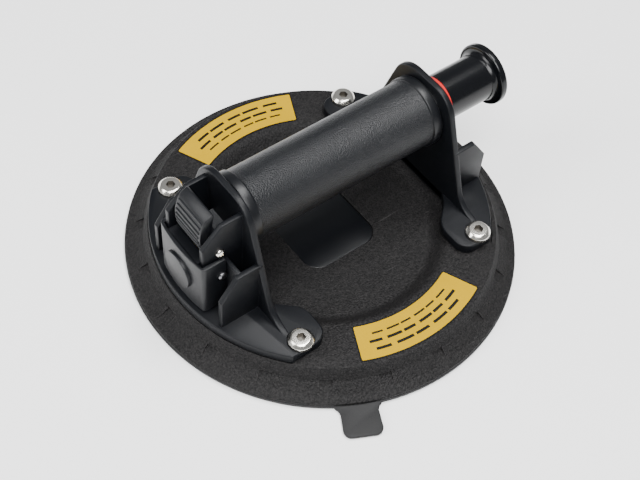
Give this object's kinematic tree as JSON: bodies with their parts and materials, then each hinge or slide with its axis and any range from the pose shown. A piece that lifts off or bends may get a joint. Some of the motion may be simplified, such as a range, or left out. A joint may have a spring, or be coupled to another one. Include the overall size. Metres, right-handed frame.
{
  "type": "vacuum suction cup",
  "caption": "Hand-held vacuum lifting cup: dished disc with a rubber pad, bar grip holding a hand pump with plunger and vacuum-loss ring, and a thumb lever that vents it.",
  "frame": {"origin": "centre of the rubber pad's sealing face, which is the plane the cup rests on and grips", "axes": "+Z away from the gripped surface; +X along the grip towards the pump plunger; the vent lever is on -X; the pull tab is on the -Y side"},
  "size_m": [0.2004, 0.2061, 0.0837],
  "materials": {
    "base_plastic": "rough moulded texture, charcoal black",
    "bracket_plastic": "smooth satin moulding, black",
    "grip_plastic": "fine spark-eroded texture, black",
    "plunger_plastic": "semi-gloss, black",
    "lever_plastic": "satin moulding, black",
    "badge_plastic": "smooth satin inlay, black",
    "pad_rubber": "matt moulded rubber, black",
    "seal_rubber": "black nitrile",
    "valve_rubber": "red silicone",
    "label_film": "yellow printed film with a black border",
    "indicator_red": "red ring",
    "bright_steel": "bright nickel-plated steel",
    "dark_steel": "oiled steel",
    "spring_steel": "drawn spring wire",
    "brass": "turned brass",
    "barrel_aluminium": "drawn tube",
    "inner_plastic": "glass-filled nylon, dark grey",
    "bush_plastic": "natural acetal",
    "filter_felt": "pressed felt"
  },
  "bodies": {
    "body": {"base_plate": "base_plastic", "rubber_pad": "pad_rubber", "badge_plate": "badge_plastic", "load_label": "label_film", "pressure_label": "label_film", "inlet_filter": "filter_felt", "threaded_inserts": "brass", "release_bracket": "bracket_plastic", "plunger_bracket": "bracket_plastic", "mounting_screws": "bright_steel", "grip_tube": "grip_plastic", "pump_barrel": "barrel_aluminium", "barrel_end_cap": "inner_plastic", "cap_seal": "seal_rubber", "check_valve": "valve_rubber", "guide_bush": "bush_plastic", "plunger_spring": "spring_steel", "valve_block": "inner_plastic", "port_seal": "seal_rubber", "pivot_screw": "bright_steel", "lever_spring": "spring_steel"},
    "plunger": {"plunger_tube": "plunger_plastic", "plunger_knob": "plunger_plastic", "indicator_band": "indicator_red", "piston": "bush_plastic", "piston_seal": "seal_rubber"},
    "vent_lever": {"thumb_paddle": "lever_plastic", "lever_shroud": "lever_plastic", "link_pin": "dark_steel"},
    "vent_valve": {"vent_poppet": "brass", "vent_seal": "seal_rubber"}
  },
  "joints": [
    {"name": "plunger_slide", "type": "slide", "parent": "body", "child": "plunger", "axis": [-1, 0, 0], "range_m": [0, 0.033], "stiffness_N_per_m": 350, "springref_m": -0.03, "deforming": ["plunger_spring"]},
    {"name": "lever_swing", "type": "hinge", "parent": "body", "child": "vent_lever", "pos_m": [-0.0723, 0, 0.06], "axis": [0, 1, 0], "range_deg": [0, 14], "stiffness_Nm_per_rad": 0.5, "springref_deg": -14.32, "deforming": ["lever_spring"]},
    {"name": "vent_slide", "type": "slide", "parent": "body", "child": "vent_valve", "axis": [-1, 0, 0], "range_m": [0, 0.0036]}
  ],
  "couplings": [
    {"joint": "vent_slide", "follows": "lever_swing", "m_per_rad": 0.0134}
  ]
}
